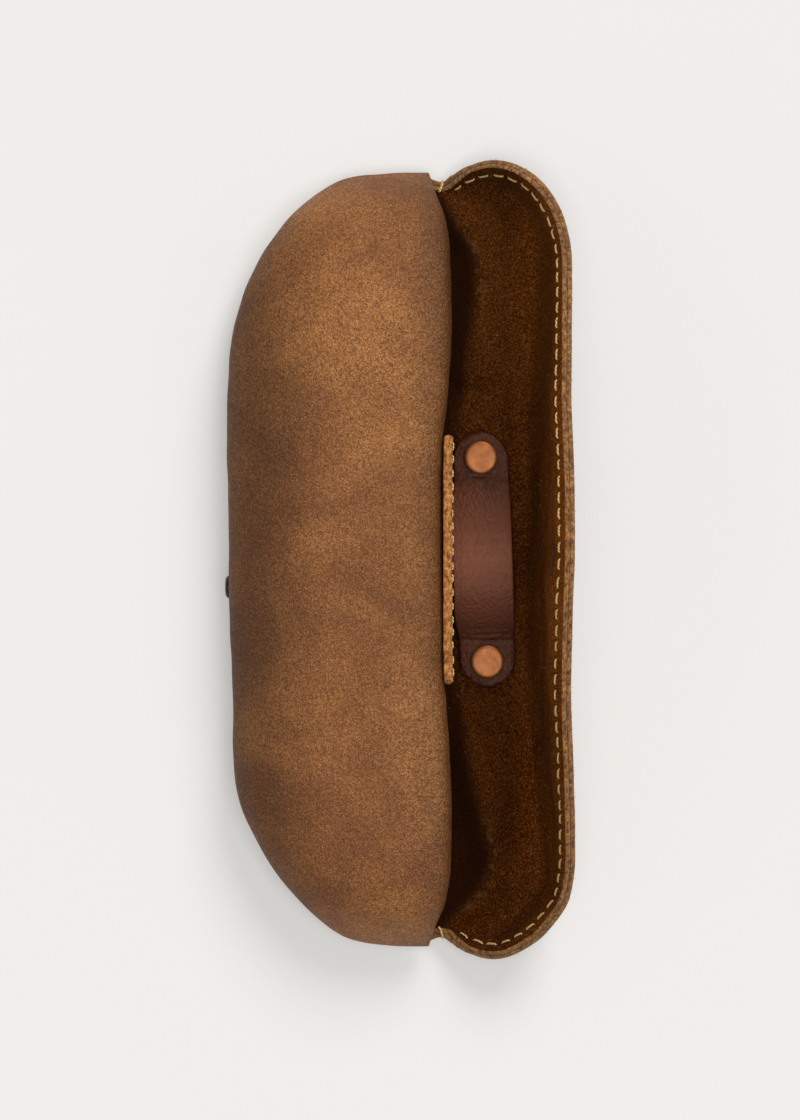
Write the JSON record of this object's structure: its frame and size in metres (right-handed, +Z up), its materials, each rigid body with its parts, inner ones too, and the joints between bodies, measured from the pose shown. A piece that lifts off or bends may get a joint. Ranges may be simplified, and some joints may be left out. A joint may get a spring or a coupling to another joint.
{
  "type": "eyeglasses case",
  "caption": "Leather eyeglasses case lying open on its back, with a domed tan pocket and a moulded, suede-lined flap.",
  "frame": {"origin": "under the middle of the open case, on the surface it lies on", "axes": "+X from the pocket's closed side towards the flap, +Y along the case, +Z up from the surface it lies on"},
  "size_m": [0.0745, 0.1696, 0.0468],
  "materials": {
    "tan_leather": "smooth, fine grain",
    "suede": "suede nap",
    "dark_leather": "waxed, satin",
    "patch_leather": "raw cut edge",
    "thread": "waxed thread",
    "copper": "matte copper",
    "stud_metal": "dark satin"
  },
  "bodies": {
    "case": {"back_outer": "tan_leather", "back_lining": "suede", "front_panel": "tan_leather", "label_patch": "patch_leather", "label_thread": "thread", "body_thread": "thread", "stud_head": "stud_metal", "stud_back": "stud_metal"},
    "flap": {"flap_outer": "tan_leather", "flap_lining": "suede", "flap_thread_inside": "thread", "flap_thread_outside": "thread", "strap": "dark_leather", "rivet_cap_1": "copper", "rivet_cap_2": "copper", "rivet_back_1": "copper", "rivet_back_2": "copper"}
  },
  "joints": [
    {"name": "flap_hinge", "type": "hinge", "parent": "case", "child": "flap", "pos_m": [0.0129, 0, 0.0086], "axis": [0, -1, 0], "range_deg": [0, 90]}
  ]
}
